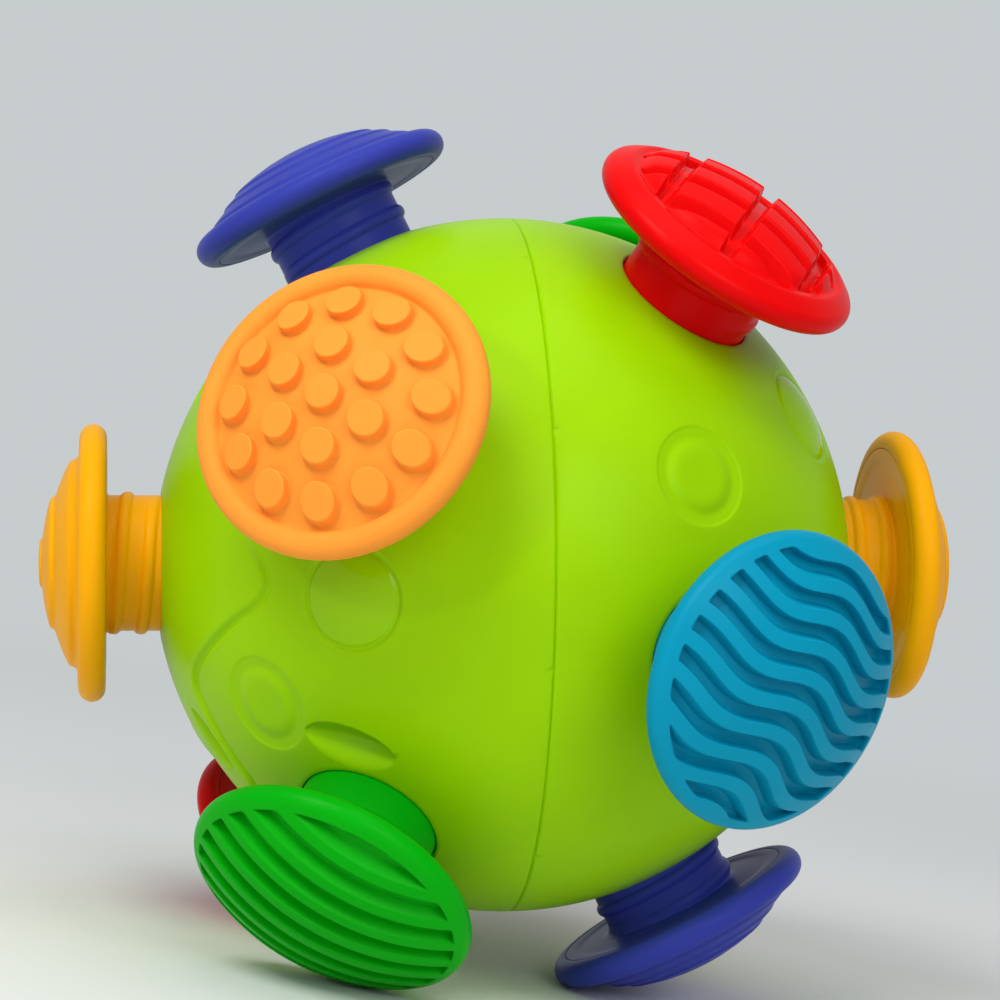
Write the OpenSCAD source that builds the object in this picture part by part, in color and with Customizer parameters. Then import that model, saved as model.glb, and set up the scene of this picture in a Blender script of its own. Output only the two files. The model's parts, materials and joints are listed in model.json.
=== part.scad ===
// Sensory ball: a hollow two-part ball with twelve textured knobs that screw in and out.
// The knobs point to the corners of an icosahedron, and opposite knobs share a texture.
// The ball stands on three knobs, with the origin on the surface under its centre.

/* [Ball] */
// Diameter of the ball
ball_d = 125; // [110:1:150]
// Wall of the two half shells
shell_wall = 2.6; // [2.2:0.1:3.2]
// Height of the tongue that centres one half in the other
lip_h = 2.5; // [1.5:0.1:4]
// Half width of the V groove along the seam
seam_w = 0.35; // [0.2:0.05:0.8]
// Depth of the V groove along the seam
seam_depth = 0.4; // [0.2:0.05:0.8]
// Width of the wall round each socket
socket_wall = 2.2; // [1.6:0.1:3]
// Length of each socket, from the top of the ball inwards
socket_depth = 10.5; // [8:0.5:12]

/* [Relief on the ball] */
// Height of the star panel round the left pole
star_height = 0.5; // [0.3:0.1:0.8]
// Radius of the larger circle of a ring mark
ring_mark_r = 8.7; // [7:0.1:10]
// Radius of the button in a ring mark
ring_button_r = 5.8; // [4:0.1:6.5]
// Depth of the channel in a ring mark
ring_depth = 0.6; // [0.3:0.1:1]
// Radius of a bubble at its foot
bubble_r = 8.1; // [7:0.1:10]
// Height of a bubble over the ball
bubble_height = 1.1; // [0.6:0.1:2]
// Length of a leaf-shaped scoop
leaf_len = 16.5; // [12:0.5:20]
// Half width of a leaf-shaped scoop
leaf_w = 3.2; // [2:0.1:4]

/* [Knobs] */
// Diameter of a knob's face
face_d = 49.4; // [40:0.2:52]
// Thickness of the rounded rim of a face
rim_t = 4.8; // [4:0.1:6]
// Height of a smooth face over the middle of its rim
dome_h = 9.5; // [7:0.1:11]
// Wall left under the deepest groove of a face
face_wall = 2; // [1.6:0.1:3]
// Diameter of the back plate
plate_d = 43; // [38:0.2:44]
// Thickness of the back plate
plate_t = 2; // [1.6:0.1:2.6]
// Diameter of the stem without its thread
stem_d = 24.2; // [20:0.1:26]
// Wall of the hollow stem
stem_wall = 2.2; // [1.8:0.1:3]
// Fillet between stem and plate
stem_fillet = 1.2; // [0.5:0.1:2]
// Height of the thread over the stem
thread_h = 0.65; // [0.4:0.05:1]
// Clearance between thread and socket
thread_clearance = 0.15; // [0.1:0.05:0.3]
// Distance that a knob can screw out
screw_travel = 13.4; // [12.8:0.1:15]
// Gap under the rim of a knob that is screwed right in
face_gap = 0.5; // [0.3:0.1:1.5]

/* [Stop rings] */
// Thickness of the snap ring that keeps a knob in its socket
stop_t = 2.4; // [1.6:0.1:3]
// How far the snap ring reaches past the stem
stop_reach = 2.5; // [1.8:0.1:3]
// Depth of the neck that the snap ring sits in
neck_depth = 1; // [0.6:0.1:1.4]
// Width of the slit in the snap ring
stop_slit = 5; // [3:0.5:8]
// Stem left below the snap ring
stem_tail = 1.4; // [1:0.1:2]
// Gap between snap ring and socket when a knob is right out
stop_gap = 0.3; // [0.2:0.1:0.6]

/* [How far each knob is screwed out] */
// Orange knob with pegs, front
pegs_front_out = 12.7; // [0:0.1:12.8]
// Orange knob with pegs, back
pegs_back_out = 7.9; // [0:0.1:12.8]
// Blue knob with waves, front
waves_front_out = 12.2; // [0:0.1:12.8]
// Blue knob with waves, back
waves_back_out = 7.3; // [0:0.1:12.8]
// Green knob with stripes, front, one of the three that the ball stands on
stripes_front_out = 11.8; // [0:0.1:12.8]
// Green knob with stripes, back
stripes_back_out = 4.9; // [0:0.1:12.8]
// Red knob with blocks, top right
blocks_top_out = 10.1; // [0:0.1:12.8]
// Red knob with blocks, bottom, one of the three that the ball stands on
blocks_bottom_out = 6.6; // [0:0.1:12.8]
// Yellow knob with steps, left pole
steps_left_out = 9.1; // [0:0.1:12.8]
// Yellow knob with steps, right pole
steps_right_out = 8.4; // [0:0.1:12.8]
// Purple knob with rings, top
rings_top_out = 9.5; // [0:0.1:12.8]
// Purple knob with rings, bottom, one of the three that the ball stands on
rings_bottom_out = 6.9; // [0:0.1:12.8]

/* [Textures] */
// Height of the face between the pegs over the middle of the rim
peg_face_h = 6.6; // [5.5:0.1:8]
// Border left round the pegs
peg_border_w = 3.9; // [3.4:0.1:4.6]
// Diameter of a peg at its top
peg_d = 5.8; // [4:0.1:7]
// How far a peg widens to its foot, on the radius
peg_draft = 0.3; // [0:0.05:0.6]
// Height of a peg over the face
peg_h = 1.9; // [1.2:0.1:3]
// Bevel round the top of a peg
peg_bevel = 0.3; // [0.2:0.1:0.8]
// Radius of the inner circle of pegs
peg_circle_1 = 8.6; // [8:0.1:9]
// Radius of the outer circle of pegs
peg_circle_2 = 16.8; // [16:0.1:17.2]
// Distance from one wavy groove to the next
wave_pitch = 5.05; // [4.5:0.05:6]
// Width of a wavy groove
wave_groove = 2.2; // [1.5:0.1:3]
// Depth of a wavy groove
wave_depth = 2.6; // [1:0.1:3]
// Length of one wave
wave_len = 22.6; // [18:0.2:30]
// Height of a wave to each side
wave_swing = 1.35; // [1:0.05:2]
// Distance from one straight groove to the next
stripe_pitch = 5.2; // [4.5:0.1:7]
// Width of a straight groove
stripe_groove = 2.9; // [1.5:0.1:3.4]
// Depth of a straight groove
stripe_depth = 2.4; // [1:0.1:3]
// Distance from one groove along the blocks to the next
block_pitch = 14; // [12:0.1:16]
// Distance from one groove across the blocks to the next
block_step = 7.4; // [6.5:0.1:9]
// How far the grooves along the blocks lie off the middle
block_shift = 1.7; // [0:0.1:3]
// Width of a groove between blocks at its floor
block_floor_w = 1.2; // [1:0.1:3]
// Width of a groove between blocks at the top of the face
block_top_w = 3.6; // [2.5:0.1:5]
// Depth of a groove between blocks
block_depth = 2.8; // [1:0.1:3]
// Border left round the blocks
block_border_w = 5; // [4:0.1:6]
// Height of each step of the stepped face
step_h = 1; // [0.6:0.1:1.3]
// Height of each fine step of the ringed face
ring_step_h = 0.4; // [0.3:0.05:0.6]
// Border left between wavy or straight grooves and the edge of a face
border_w = 1.9; // [1.7:0.1:3]
// Wall left between the ends of the grooves and the back plate
edge_wall = 1.2; // [0.8:0.1:1.6]

/* [Hidden] */
$fn = 72;

// One overrun serves all cuts
over = 1;
// Clearance between parts that fit into each other
fit_gap = 0.1;

lime = [0.57, 0.80, 0.02];
orange = [1.00, 0.60, 0.22];
blue = [0.00, 0.50, 0.66];
green = [0.02, 0.65, 0.06];
red = [0.92, 0.01, 0.02];
yellow = [0.97, 0.66, 0.02];
purple = [0.20, 0.24, 0.62];

ball_r = ball_d / 2;
inner_r = ball_r - shell_wall;
stem_r = stem_d / 2;
bore_r = stem_r + thread_h + thread_clearance;
socket_r = bore_r + socket_wall;
socket_end = ball_r - socket_depth;
lip_r = inner_r + shell_wall / 2;

rim_r = rim_t / 2;
face_r = face_d / 2;
rim_circle_r = face_r - rim_r;
plate_r = plate_d / 2;
groove_r = face_r - border_w;
// A smooth face runs from its middle down to the crown of the rim
dome_r = (pow(rim_circle_r, 2) + pow(dome_h - rim_r, 2)) / (2 * (dome_h - rim_r));
peg_dome_r = (pow(face_r - peg_border_w, 2) + pow(peg_face_h, 2)) / (2 * peg_face_h);
plate_back = -rim_r;
plate_top = plate_back + plate_t;
edge_floor = plate_top + edge_wall;

// Distances of the middle of a rim from the middle of the ball
in_dist = sqrt(pow(ball_r + star_height, 2) - pow(bore_r, 2)) + rim_r + face_gap;
out_dist = in_dist + screw_travel;
stop_top = socket_end - stop_gap - out_dist;
stop_back = stop_top - stop_t;
neck_top = stop_top + fit_gap;
neck_back = stop_back - fit_gap;
neck_r = stem_r - neck_depth;
stem_end = neck_back - stem_tail;
spigot_r = stem_r - stem_wall / 2;

// Directions of the knobs: angle from the left pole, then angle round the poles
tilt = atan(2);
far_tilt = 180 - tilt;
fifth = 360 / 5;
// Each knob: angle from the pole, angle round the poles, distance screwed out, turn of its pattern
pegs_front = [tilt, 0, pegs_front_out, 21];
pegs_back = [far_tilt, 180, pegs_back_out, 9];
waves_front = [far_tilt, -fifth / 2, waves_front_out, -35];
waves_back = [tilt, 180 - fifth / 2, waves_back_out, 40];
stripes_front = [tilt, -fifth, stripes_front_out, -15];
stripes_back = [far_tilt, 180 - fifth, stripes_back_out, 70];
blocks_top = [far_tilt, fifth / 2, blocks_top_out, 65];
blocks_bottom = [tilt, 180 + fifth / 2, blocks_bottom_out, 20];
steps_left = [0, 0, steps_left_out, 0];
steps_right = [180, 0, steps_right_out, 0];
rings_top = [tilt, fifth, rings_top_out, 0];
rings_bottom = [far_tilt, 180 + fifth, rings_bottom_out, 0];

left_knobs = [steps_left, pegs_front, rings_top, waves_back, blocks_bottom, stripes_front];
right_knobs = [steps_right, pegs_back, rings_bottom, waves_front, blocks_top, stripes_back];

// Relief marks: angle from the left pole, angle round the poles
left_turns = [0, 2 * fifth, 3 * fifth];
left_ring_mark = [44, 307];
left_bubble = [59.2, 333.6];
left_leaf = [59.5, 305.7];
left_small_leaf = [32.5, 275];
right_turns = [0, 2 * fifth, 3 * fifth];
right_ring_mark = [113.7, 354.4];
right_bubble = [141, 21];
small_leaf_share = 0.8;

// Star panel: corners of its five soft points, as angle from the left pole and angle round the poles
star_corners = [[36, 12], [45.5, 50], [28, 86], [45.5, 124], [28, 160],
    [45.5, 196], [27, 236], [46, 276], [25.5, 293], [46.5, 334]];
star_soft_share = 0.2;
star_steps = 4;

// Standing position: the ball rests on the rims of three knobs
feet = [stripes_front, rings_bottom, blocks_bottom];
feet_count = 12;
left_pole_angle = 188;

function direction(k) = [sin(k[0]) * cos(k[1]), sin(k[0]) * sin(k[1]), cos(k[0])];
function unit(v) = v / norm(v);
function sideways(a, down) = unit(down - a * (a * down));
function foot(k, down) = direction(k) * (in_dist + k[2])
    + sideways(direction(k), down) * rim_circle_r + down * rim_r;
function plane_normal(p) = unit(cross(p[1] - p[0], p[2] - p[0]));
function away(n, p) = n * sign(n * p);
function next_down(down) = away(plane_normal([for (k = feet) foot(k, down)]), foot(feet[0], down));
function settle(down, rounds) = rounds < 1 ? down : settle(next_down(down), rounds - 1);
first_down = unit(direction(feet[0]) + direction(feet[1]) + direction(feet[2]));
down = settle(first_down, feet_count);
rest_height = foot(feet[0], down) * down;

// Turn that brings the resting side down, then the left pole to its heading
tip_axis = unit(cross(down, [0, 0, -1]));
tip_angle = acos(down * [0, 0, -1]);
function turned(v, axis, a) = v * cos(a) + cross(axis, v) * sin(a) + axis * (axis * v) * (1 - cos(a));
tipped_pole = turned([0, 0, 1], tip_axis, tip_angle);
heading = left_pole_angle - atan2(tipped_pole[1], tipped_pole[0]);

module stand() {
    translate([0, 0, rest_height])
        rotate([0, 0, heading])
            rotate(a = tip_angle, v = tip_axis)
                children();
}

module toward(k) {
    rotate([0, k[0], k[1]]) children();
}

module at_knob(k) {
    stand()
        toward(k)
            translate([0, 0, in_dist + k[2]])
                rotate([0, 0, k[3]])
                    children();
}

// Outline of the star panel, with its corners rounded
function polar_point(r, a) = [r * cos(a), r * sin(a)];
function star_corner(i) = polar_point(ball_r * sin(star_corners[i % 10][0]), star_corners[i % 10][1]);
function bend(a, b, c, t) = (b + (a - b) * star_soft_share) * pow(1 - t, 2)
    + b * 2 * t * (1 - t) + (b + (c - b) * star_soft_share) * pow(t, 2);
star_outline = [for (i = [0:9]) for (s = [0:star_steps])
    bend(star_corner(i), star_corner(i + 1), star_corner(i + 2), s / star_steps)];

module half_space() {
    translate([-ball_d, -ball_d, 0]) cube([2 * ball_d, 2 * ball_d, ball_d]);
}

module socket() {
    intersection() {
        translate([0, 0, socket_end]) cylinder(r = socket_r, h = socket_depth);
        sphere(r = lip_r);
    }
}

module socket_bore() {
    translate([0, 0, socket_end - over]) cylinder(r = bore_r, h = socket_depth + star_height + 2 * over);
}

module ring_mark() {
    difference() {
        cylinder(r = ring_mark_r, h = ball_d);
        cylinder(r = ring_button_r, h = ball_d);
        sphere(r = ball_r - ring_depth);
    }
}

bubble_rise = bubble_height + ball_r - sqrt(pow(ball_r, 2) - pow(bubble_r, 2));
bubble_sphere_r = (pow(bubble_r, 2) + pow(bubble_rise, 2)) / (2 * bubble_rise);

module bubble() {
    translate([0, 0, ball_r + bubble_height - bubble_sphere_r]) sphere(r = bubble_sphere_r);
}

// A leaf is a spindle lying on the ball, pointed at both ends
module spindle(len, half_w) {
    spindle_r = (pow(len / 2, 2) + pow(half_w, 2)) / (2 * half_w);
    rotate([0, 90, 0])
        rotate_extrude()
            intersection() {
                translate([half_w - spindle_r, 0]) circle(r = spindle_r);
                translate([0, -len]) square([half_w + over, 2 * len]);
            }
}

module leaf_cut(share, lift) {
    translate([0, 0, ball_r + lift]) spindle(leaf_len * share, leaf_w * share);
}

module leaf_backing(share, lift) {
    translate([0, 0, ball_r + lift]) spindle(leaf_len * share + 2 * shell_wall, leaf_w * share + shell_wall);
}

module leaves(turns) {
    for (turn = turns) {
        rotate([0, 0, turn]) toward(left_leaf) children(0);
        rotate([0, 0, turn]) toward(left_small_leaf) children(1);
    }
}

module left_ball() {
    intersection() {
        union() {
            sphere(r = ball_r);
            intersection() {
                sphere(r = ball_r + star_height);
                linear_extrude(height = ball_d) polygon(star_outline);
            }
            for (turn = left_turns) {
                rotate([0, 0, turn]) toward(left_bubble) bubble();
            }
        }
        half_space();
    }
}

module lip() {
    translate([0, 0, -lip_h])
        difference() {
            cylinder(r = lip_r - fit_gap, h = lip_h + over);
            translate([0, 0, -over]) cylinder(r = inner_r, h = lip_h + 3 * over);
        }
}

module seam_groove() {
    rotate_extrude()
        polygon([[ball_r - seam_depth, 0], [ball_r + over, -seam_w], [ball_r + over, seam_w]]);
}

module left_half() {
    difference() {
        union() {
            difference() {
                left_ball();
                sphere(r = inner_r);
            }
            intersection() {
                leaves(left_turns) {
                    leaf_backing(1, 0);
                    leaf_backing(small_leaf_share, star_height);
                }
                sphere(r = lip_r);
            }
            for (k = left_knobs) {
                toward(k) socket();
            }
            lip();
        }
        for (k = left_knobs) {
            toward(k) socket_bore();
        }
        for (turn = left_turns) {
            rotate([0, 0, turn]) toward(left_ring_mark) ring_mark();
        }
        leaves(left_turns) {
            leaf_cut(1, 0);
            leaf_cut(small_leaf_share, star_height);
        }
        seam_groove();
    }
}

module right_half() {
    difference() {
        union() {
            difference() {
                intersection() {
                    union() {
                        sphere(r = ball_r);
                        for (turn = right_turns) {
                            rotate([0, 0, turn]) toward(right_bubble) bubble();
                        }
                    }
                    mirror([0, 0, 1]) half_space();
                }
                sphere(r = inner_r);
            }
            for (k = right_knobs) {
                toward(k) socket();
            }
        }
        for (k = right_knobs) {
            toward(k) socket_bore();
        }
        for (turn = right_turns) {
            rotate([0, 0, turn]) toward(right_ring_mark) ring_mark();
        }
        translate([0, 0, -lip_h - fit_gap]) cylinder(r = lip_r, h = lip_h + over);
        seam_groove();
    }
}

// Faces: every texture is a dome with a rounded rim, hollow behind, seated over the back plate
module dome(r, h) {
    intersection() {
        translate([0, 0, h - r]) sphere(r = r);
        translate([0, 0, plate_back]) cylinder(r = rim_circle_r, h = h + rim_t);
    }
}

module rim() {
    rotate_extrude() translate([rim_circle_r, 0]) circle(r = rim_r);
}

module seat_cut() {
    translate([0, 0, plate_back - over]) cylinder(r = plate_r + fit_gap, h = plate_t + over);
}

module hollow(r, h, depth) {
    intersection() {
        translate([0, 0, h - r]) sphere(r = r - depth - face_wall);
        translate([0, 0, plate_top - over]) cylinder(r = rim_circle_r, h = h + over);
    }
}

// A smooth face with grooves cut into it, out to a given radius
module grooved_face(depth, field_r) {
    difference() {
        union() {
            dome(dome_r, dome_h);
            rim();
        }
        difference() {
            intersection() {
                children();
                translate([0, 0, edge_floor]) cylinder(r = field_r, h = dome_h);
            }
            translate([0, 0, dome_h - dome_r]) sphere(r = dome_r - depth);
        }
        hollow(dome_r, dome_h, depth);
        seat_cut();
    }
}

module peg(height) {
    cylinder(r1 = peg_d / 2 + peg_draft, r2 = peg_d / 2, h = height - peg_bevel);
    translate([0, 0, height - peg_bevel])
        cylinder(r1 = peg_d / 2, r2 = peg_d / 2 - peg_bevel, h = peg_bevel);
}

function dome_z(r, h, x) = h - r + sqrt(pow(r, 2) - pow(x, 2));

module peg_circle(radius, count) {
    for (i = [0:count - 1]) {
        rotate([0, 0, i * 360 / count])
            translate([radius, 0, 0])
                peg(dome_z(peg_dome_r, peg_face_h, radius) + peg_h);
    }
}

module pegs_face() {
    difference() {
        union() {
            dome(peg_dome_r, peg_face_h);
            rim();
            peg(peg_face_h + peg_h);
            peg_circle(peg_circle_1, 6);
            peg_circle(peg_circle_2, 12);
        }
        hollow(peg_dome_r, peg_face_h, 0);
        seat_cut();
    }
}

wave_steps = 20;
function wave_y(x) = wave_swing * (cos(360 * x / wave_len) - 1);
function wave_x(i) = -face_r + face_d * i / wave_steps;
wave_outline = concat(
    [for (i = [0:wave_steps]) [wave_x(i), wave_y(wave_x(i)) - wave_groove / 2]],
    [for (i = [wave_steps:-1:0]) [wave_x(i), wave_y(wave_x(i)) + wave_groove / 2]]);
wave_count = floor(groove_r / wave_pitch);

module waves_face() {
    grooved_face(wave_depth, groove_r)
        for (i = [-wave_count:wave_count]) {
            translate([0, i * wave_pitch, 0]) linear_extrude(height = dome_h + over) polygon(wave_outline);
        }
}

stripe_count = floor(groove_r / stripe_pitch);

module stripes_face() {
    grooved_face(stripe_depth, groove_r)
        for (i = [-stripe_count:stripe_count]) {
            translate([-face_r, i * stripe_pitch - stripe_groove / 2, 0])
                cube([face_d, stripe_groove, dome_h + over]);
        }
}

block_r = face_r - block_border_w;
block_rows = floor(block_r / block_pitch);
block_columns = floor(block_r / block_step);

// A groove that widens to the top, lying along X
module block_groove() {
    rotate([90, 0, 90])
        translate([0, 0, -face_r])
            linear_extrude(height = face_d)
                polygon([[-block_floor_w / 2, 0], [block_floor_w / 2, 0],
                    [block_top_w / 2, dome_h + over], [-block_top_w / 2, dome_h + over]]);
}

module blocks_face() {
    grooved_face(block_depth, block_r) {
        for (i = [-block_rows:block_rows]) {
            translate([0, i * block_pitch - block_shift, 0]) block_groove();
        }
        for (i = [-block_columns:block_columns]) {
            translate([i * block_step, 0, 0]) rotate([0, 0, 90]) block_groove();
        }
    }
}

// Each terrace: share of the face radius, steps of height below the top
step_shares = [[0.17, 0], [0.47, 0.4], [0.74, 1.15], [0.9, 2.2]];

module steps_face() {
    difference() {
        union() {
            for (s = step_shares) {
                intersection() {
                    dome(dome_r, dome_h - s[1] * step_h);
                    translate([0, 0, plate_back]) cylinder(r = face_r * s[0], h = dome_h + rim_t);
                }
            }
            rim();
        }
        hollow(dome_r, dome_h, step_shares[3][1] * step_h);
        seat_cut();
    }
}

ring_shares = [[0.56, 0], [0.68, 1], [0.81, 2], [0.9, 3]];

module rings_face() {
    difference() {
        union() {
            for (s = ring_shares) {
                intersection() {
                    dome(dome_r, dome_h - s[1] * ring_step_h);
                    translate([0, 0, plate_back]) cylinder(r = face_r * s[0], h = dome_h + rim_t);
                }
            }
            rim();
        }
        hollow(dome_r, dome_h, ring_shares[3][1] * ring_step_h);
        seat_cut();
    }
}

// Back plate that closes the face, with a hole for the spigot of the stem
module plate() {
    translate([0, 0, plate_back])
        difference() {
            cylinder(r = plate_r, h = plate_t);
            translate([0, 0, -over]) cylinder(r = spigot_r + fit_gap, h = plate_t + 2 * over);
        }
}

// Stem, closed at the plate and open inside the ball; the plate sits on its flared shoulder
module stem() {
    rotate_extrude()
        polygon([
            [0, plate_top], [spigot_r, plate_top], [spigot_r, plate_back],
            [stem_r + stem_fillet, plate_back], [stem_r, plate_back - stem_fillet],
            [stem_r, neck_top], [neck_r, neck_top], [neck_r, neck_back], [stem_r, neck_back],
            [stem_r, stem_end], [stem_r - stem_wall, stem_end],
            [stem_r - stem_wall, plate_back - stem_fillet], [0, plate_back - stem_fillet]]);
}

// Snap ring with a slit, clipped into the neck of the stem
module stop() {
    difference() {
        translate([0, 0, stop_back]) cylinder(r = stem_r + stop_reach, h = stop_t);
        translate([0, 0, stop_back - over]) cylinder(r = neck_r + fit_gap, h = stop_t + 2 * over);
        translate([0, -stop_slit / 2, stop_back - over])
            cube([stem_r + stop_reach + over, stop_slit, stop_t + 2 * over]);
    }
}

module shell_left() { color(lime) stand() left_half(); }
module shell_right() { color(lime) stand() right_half(); }
module pegs_front_face() { color(orange) at_knob(pegs_front) pegs_face(); }
module pegs_front_plate() { color(orange) at_knob(pegs_front) plate(); }
module pegs_front_stem() { color(orange) at_knob(pegs_front) stem(); }
module pegs_front_stop() { color(orange) at_knob(pegs_front) stop(); }
module pegs_back_face() { color(orange) at_knob(pegs_back) pegs_face(); }
module pegs_back_plate() { color(orange) at_knob(pegs_back) plate(); }
module pegs_back_stem() { color(orange) at_knob(pegs_back) stem(); }
module pegs_back_stop() { color(orange) at_knob(pegs_back) stop(); }
module waves_front_face() { color(blue) at_knob(waves_front) waves_face(); }
module waves_front_plate() { color(blue) at_knob(waves_front) plate(); }
module waves_front_stem() { color(blue) at_knob(waves_front) stem(); }
module waves_front_stop() { color(blue) at_knob(waves_front) stop(); }
module waves_back_face() { color(blue) at_knob(waves_back) waves_face(); }
module waves_back_plate() { color(blue) at_knob(waves_back) plate(); }
module waves_back_stem() { color(blue) at_knob(waves_back) stem(); }
module waves_back_stop() { color(blue) at_knob(waves_back) stop(); }
module stripes_front_face() { color(green) at_knob(stripes_front) stripes_face(); }
module stripes_front_plate() { color(green) at_knob(stripes_front) plate(); }
module stripes_front_stem() { color(green) at_knob(stripes_front) stem(); }
module stripes_front_stop() { color(green) at_knob(stripes_front) stop(); }
module stripes_back_face() { color(green) at_knob(stripes_back) stripes_face(); }
module stripes_back_plate() { color(green) at_knob(stripes_back) plate(); }
module stripes_back_stem() { color(green) at_knob(stripes_back) stem(); }
module stripes_back_stop() { color(green) at_knob(stripes_back) stop(); }
module blocks_top_face() { color(red) at_knob(blocks_top) blocks_face(); }
module blocks_top_plate() { color(red) at_knob(blocks_top) plate(); }
module blocks_top_stem() { color(red) at_knob(blocks_top) stem(); }
module blocks_top_stop() { color(red) at_knob(blocks_top) stop(); }
module blocks_bottom_face() { color(red) at_knob(blocks_bottom) blocks_face(); }
module blocks_bottom_plate() { color(red) at_knob(blocks_bottom) plate(); }
module blocks_bottom_stem() { color(red) at_knob(blocks_bottom) stem(); }
module blocks_bottom_stop() { color(red) at_knob(blocks_bottom) stop(); }
module steps_left_face() { color(yellow) at_knob(steps_left) steps_face(); }
module steps_left_plate() { color(yellow) at_knob(steps_left) plate(); }
module steps_left_stem() { color(yellow) at_knob(steps_left) stem(); }
module steps_left_stop() { color(yellow) at_knob(steps_left) stop(); }
module steps_right_face() { color(yellow) at_knob(steps_right) steps_face(); }
module steps_right_plate() { color(yellow) at_knob(steps_right) plate(); }
module steps_right_stem() { color(yellow) at_knob(steps_right) stem(); }
module steps_right_stop() { color(yellow) at_knob(steps_right) stop(); }
module rings_top_face() { color(purple) at_knob(rings_top) rings_face(); }
module rings_top_plate() { color(purple) at_knob(rings_top) plate(); }
module rings_top_stem() { color(purple) at_knob(rings_top) stem(); }
module rings_top_stop() { color(purple) at_knob(rings_top) stop(); }
module rings_bottom_face() { color(purple) at_knob(rings_bottom) rings_face(); }
module rings_bottom_plate() { color(purple) at_knob(rings_bottom) plate(); }
module rings_bottom_stem() { color(purple) at_knob(rings_bottom) stem(); }
module rings_bottom_stop() { color(purple) at_knob(rings_bottom) stop(); }

shell_left();
shell_right();
pegs_front_face();
pegs_front_plate();
pegs_front_stem();
pegs_front_stop();
pegs_back_face();
pegs_back_plate();
pegs_back_stem();
pegs_back_stop();
waves_front_face();
waves_front_plate();
waves_front_stem();
waves_front_stop();
waves_back_face();
waves_back_plate();
waves_back_stem();
waves_back_stop();
stripes_front_face();
stripes_front_plate();
stripes_front_stem();
stripes_front_stop();
stripes_back_face();
stripes_back_plate();
stripes_back_stem();
stripes_back_stop();
blocks_top_face();
blocks_top_plate();
blocks_top_stem();
blocks_top_stop();
blocks_bottom_face();
blocks_bottom_plate();
blocks_bottom_stem();
blocks_bottom_stop();
steps_left_face();
steps_left_plate();
steps_left_stem();
steps_left_stop();
steps_right_face();
steps_right_plate();
steps_right_stem();
steps_right_stop();
rings_top_face();
rings_top_plate();
rings_top_stem();
rings_top_stop();
rings_bottom_face();
rings_bottom_plate();
rings_bottom_stem();
rings_bottom_stop();
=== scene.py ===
"""Sensory ball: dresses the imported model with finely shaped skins, plastic materials, lights and a camera.

All shapes are worked out in millimetres, in the ball's own frame (left pole on +Z) or in a knob's own frame
(rim plane at z = 0, face towards +Z), and are put into the meshes in metres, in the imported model's frame.
"""

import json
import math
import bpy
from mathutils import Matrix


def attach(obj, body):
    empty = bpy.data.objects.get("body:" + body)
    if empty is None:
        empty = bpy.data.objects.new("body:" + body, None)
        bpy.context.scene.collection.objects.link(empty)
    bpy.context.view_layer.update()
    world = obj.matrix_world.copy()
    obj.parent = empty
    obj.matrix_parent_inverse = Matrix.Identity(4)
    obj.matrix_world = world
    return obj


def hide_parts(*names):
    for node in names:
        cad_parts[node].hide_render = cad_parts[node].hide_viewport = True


bl_info = {
    "name": "Sensory ball",
    "version": (1, 0, 0),
    "blender": (4, 5, 0),
    "location": "3D View > Sidebar > Sensory ball",
    "description": "Builds the skins, threads, textured faces, materials and stage of a sensory ball",
    "category": "Add Mesh",
}

import bmesh
import bpy
import numpy as np
from bpy.props import FloatProperty, FloatVectorProperty, IntProperty, PointerProperty
from mathutils import Matrix, Vector

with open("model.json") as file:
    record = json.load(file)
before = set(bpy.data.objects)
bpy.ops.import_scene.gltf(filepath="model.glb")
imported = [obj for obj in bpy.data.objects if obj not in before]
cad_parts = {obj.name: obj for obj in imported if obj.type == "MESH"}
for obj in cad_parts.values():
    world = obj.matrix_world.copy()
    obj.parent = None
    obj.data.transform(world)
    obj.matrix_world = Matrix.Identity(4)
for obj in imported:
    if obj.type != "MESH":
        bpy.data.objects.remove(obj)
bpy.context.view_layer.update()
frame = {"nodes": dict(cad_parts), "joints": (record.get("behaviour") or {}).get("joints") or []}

MM = 0.001
TILT = math.degrees(math.atan(2))
FIFTH = 72.0
HINGES = {j["name"][:-5]: j for j in frame["joints"] if j["type"] == "hinge"}

# Each knob: texture, angle from the left pole, angle round the poles, turn of its pattern, turn of its thread
KNOBS = {
    "pegs_front": ("pegs", TILT, 0, 21, 257),
    "pegs_back": ("pegs", 180 - TILT, 180, 9, 127),
    "waves_front": ("waves", 180 - TILT, -FIFTH / 2, -35, 11),
    "waves_back": ("waves", TILT, 180 - FIFTH / 2, 40, 42),
    "stripes_front": ("stripes", TILT, -FIFTH, -15, 113),
    "stripes_back": ("stripes", 180 - TILT, 180 - FIFTH, 70, 154),
    "blocks_top": ("blocks", 180 - TILT, FIFTH / 2, 65, 155),
    "blocks_bottom": ("blocks", TILT, 180 + FIFTH / 2, 20, 148),
    "steps_left": ("steps", 0, 0, 0, 285),
    "steps_right": ("steps", 180, 0, 0, 37),
    "rings_top": ("rings", TILT, FIFTH, 0, 210),
    "rings_bottom": ("rings", 180 - TILT, 180 + FIFTH, 0, 112),
}
COLOUR_OF = {"pegs": "orange", "waves": "blue", "stripes": "green", "blocks": "red", "steps": "yellow",
             "rings": "purple"}
LEFT_HANDED = ("steps",)

# Corners of the star panel: angle from the left pole, angle round the poles
STAR_CORNERS = ((36, 12), (45.5, 50), (28, 86), (45.5, 124), (28, 160), (45.5, 196), (27, 236), (46, 276),
                (25.5, 293), (46.5, 334))
STAR_SOFT = 0.2

# Columns of the turned shapes and of a peg, and lines each way in the grid of a face with blocks
STEM_COLUMNS, FACE_COLUMNS, PEG_COLUMNS, BLOCK_LINES = 144, 180, 40, 230
INNER_ROWS = 11
COARSEST = 2.2


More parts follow.
